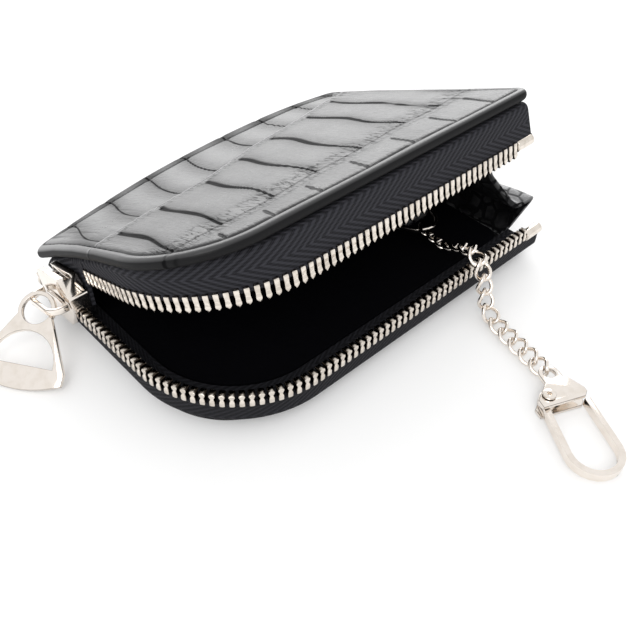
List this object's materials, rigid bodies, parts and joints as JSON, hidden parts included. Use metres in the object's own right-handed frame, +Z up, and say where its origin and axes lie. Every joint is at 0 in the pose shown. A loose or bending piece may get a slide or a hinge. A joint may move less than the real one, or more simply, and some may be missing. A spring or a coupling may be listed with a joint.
{
  "type": "key coin case",
  "caption": "Zip-around key and coin case in croc-embossed leather, lying open with its gusset, curb chain and swivel clip.",
  "frame": {"origin": "centre of the lower cover's flat underside, on the surface it lies on", "axes": "+X along the spine towards the gusset end, +Y from the zip's front towards the spine, +Z up"},
  "size_m": [0.138, 0.1405, 0.0455],
  "materials": {
    "croc_leather": "black croc-embossed leather with a satin gloss",
    "lining": "matt black lining cloth",
    "zip_tape": "blue-black woven herringbone tape",
    "nickel": "polished pale nickel plate"
  },
  "bodies": {
    "case_base": {"lower_cover": "croc_leather", "lower_lining": "lining", "lower_tape": "zip_tape", "lower_tooth_row": "nickel", "lower_end_stop": "nickel", "key_tab": "croc_leather", "tab_rivet": "nickel", "gusset": "croc_leather", "spine_strip": "croc_leather"},
    "lid": {"upper_cover": "croc_leather", "upper_lining": "lining", "upper_tape": "zip_tape", "upper_tooth_row": "nickel", "upper_end_stop": "nickel"},
    "slider": {"slider_body": "nickel", "slider_bridge": "nickel", "lock_pawl": "nickel"},
    "puller": {"stirrup_puller": "nickel"},
    "ring": {"key_ring": "nickel"},
    "link_01": {"chain_link_01": "nickel"},
    "link_02": {"chain_link_02": "nickel"},
    "link_03": {"chain_link_03": "nickel"},
    "link_04": {"chain_link_04": "nickel"},
    "link_05": {"chain_link_05": "nickel"},
    "link_06": {"chain_link_06": "nickel"},
    "link_07": {"chain_link_07": "nickel"},
    "link_08": {"chain_link_08": "nickel"},
    "link_09": {"chain_link_09": "nickel"},
    "link_10": {"chain_link_10": "nickel"},
    "link_11": {"chain_link_11": "nickel"},
    "link_12": {"chain_link_12": "nickel"},
    "link_13": {"chain_link_13": "nickel"},
    "link_14": {"chain_link_14": "nickel"},
    "link_15": {"chain_link_15": "nickel"},
    "link_16": {"chain_link_16": "nickel"},
    "clip": {"clip_body": "nickel", "clip_rivet": "nickel"},
    "clip_gate": {"clip_loop": "nickel"}
  },
  "joints": [
    {"name": "cover_opening", "type": "hinge", "parent": "case_base", "child": "lid", "pos_m": [0, 0.0298, 0.0113], "axis": [-1, 0, 0], "range_deg": [-8, 11], "deforming": ["gusset", "spine_strip"]},
    {"name": "slider_travel", "type": "slide", "parent": "case_base", "child": "slider", "axis": [0, -0.9976, 0.0694], "range_m": [0, 0.026]},
    {"name": "puller_swing", "type": "hinge", "parent": "slider", "child": "puller", "pos_m": [-0.0639, 0.01779, 0.01131], "axis": [0, 0.9745, -0.2246], "range_deg": [0, 60]},
    {"name": "ring_swing", "type": "hinge", "parent": "case_base", "child": "ring", "pos_m": [0.034, -0.013, 0.0069], "axis": [-1, 0, 0], "range_deg": [0, 4]},
    {"name": "link_01_swing", "type": "hinge", "parent": "ring", "child": "link_01", "pos_m": [0.0314, -0.01911, 0.0073], "axis": [0.0411, 0.1612, 0.9861], "range_deg": [-4, 4]},
    {"name": "link_02_lift", "type": "hinge", "parent": "link_01", "child": "link_02", "pos_m": [0.03034, -0.02292, 0.00797], "axis": [-0.969, 0.247, 0], "range_deg": [0, 3]},
    {"name": "link_03_swing", "type": "hinge", "parent": "link_02", "child": "link_03", "pos_m": [0.02928, -0.02674, 0.00864], "axis": [-0.0453, -0.1779, -0.983], "range_deg": [-4, 4]},
    {"name": "link_04_lift", "type": "hinge", "parent": "link_03", "child": "link_04", "pos_m": [0.02823, -0.03052, 0.00944], "axis": [-0.969, 0.247, 0], "range_deg": [0, 3]},
    {"name": "link_05_swing", "type": "hinge", "parent": "link_04", "child": "link_05", "pos_m": [0.02734, -0.03377, 0.01162], "axis": [0.1372, 0.5383, 0.8315], "range_deg": [-4, 4]},
    {"name": "link_06_lift", "type": "hinge", "parent": "link_05", "child": "link_06", "pos_m": [0.02645, -0.03695, 0.01389], "axis": [-0.969, 0.247, 0], "range_deg": [0, 3]},
    {"name": "link_07_swing", "type": "hinge", "parent": "link_06", "child": "link_07", "pos_m": [0.02547, -0.04048, 0.0155], "axis": [-0.0224, -0.0879, -0.9959], "range_deg": [-4, 4]},
    {"name": "link_08_lift", "type": "hinge", "parent": "link_07", "child": "link_08", "pos_m": [0.02443, -0.04425, 0.01458], "axis": [-0.969, 0.247, 0], "range_deg": [0, 10]},
    {"name": "link_09_swing", "type": "hinge", "parent": "link_08", "child": "link_09", "pos_m": [0.02381, -0.04649, 0.01131], "axis": [-0.2183, -0.8565, 0.4677], "range_deg": [-16, 16]},
    {"name": "link_10_lift", "type": "hinge", "parent": "link_09", "child": "link_10", "pos_m": [0.02343, -0.04783, 0.00755], "axis": [-0.969, 0.247, 0], "range_deg": [0, 10]},
    {"name": "link_11_swing", "type": "hinge", "parent": "link_10", "child": "link_11", "pos_m": [0.02297, -0.0495, 0.00393], "axis": [0.178, 0.6983, -0.6933], "range_deg": [-16, 16]},
    {"name": "link_12_lift", "type": "hinge", "parent": "link_11", "child": "link_12", "pos_m": [0.02202, -0.05292, 0.00206], "axis": [-0.969, 0.247, 0], "range_deg": [0, 16]},
    {"name": "link_13_swing", "type": "hinge", "parent": "link_12", "child": "link_13", "pos_m": [0.02095, -0.05679, 0.00205], "axis": [0.0025, 0.01, 0.9999], "range_deg": [-16, 16]},
    {"name": "link_14_lift", "type": "hinge", "parent": "link_13", "child": "link_14", "pos_m": [0.01988, -0.06067, 0.00214], "axis": [-0.969, 0.247, 0], "range_deg": [0, 16]},
    {"name": "link_15_swing", "type": "hinge", "parent": "link_14", "child": "link_15", "pos_m": [0.0188, -0.06454, 0.0023], "axis": [-0.0118, -0.0462, -0.9989], "range_deg": [-16, 16]},
    {"name": "link_16_lift", "type": "hinge", "parent": "link_15", "child": "link_16", "pos_m": [0.01773, -0.06841, 0.00253], "axis": [-0.969, 0.247, 0], "range_deg": [0, 16]},
    {"name": "clip_swing", "type": "hinge", "parent": "link_16", "child": "clip", "pos_m": [0.01666, -0.07226, 0.00281], "axis": [0.0177, 0.0693, 0.9974], "range_deg": [-20, 20]},
    {"name": "gate_swing", "type": "hinge", "parent": "clip", "child": "clip_gate", "pos_m": [0.00974, -0.07776, 0.0001], "axis": [0, 0, -1], "range_deg": [0, 60]}
  ]
}
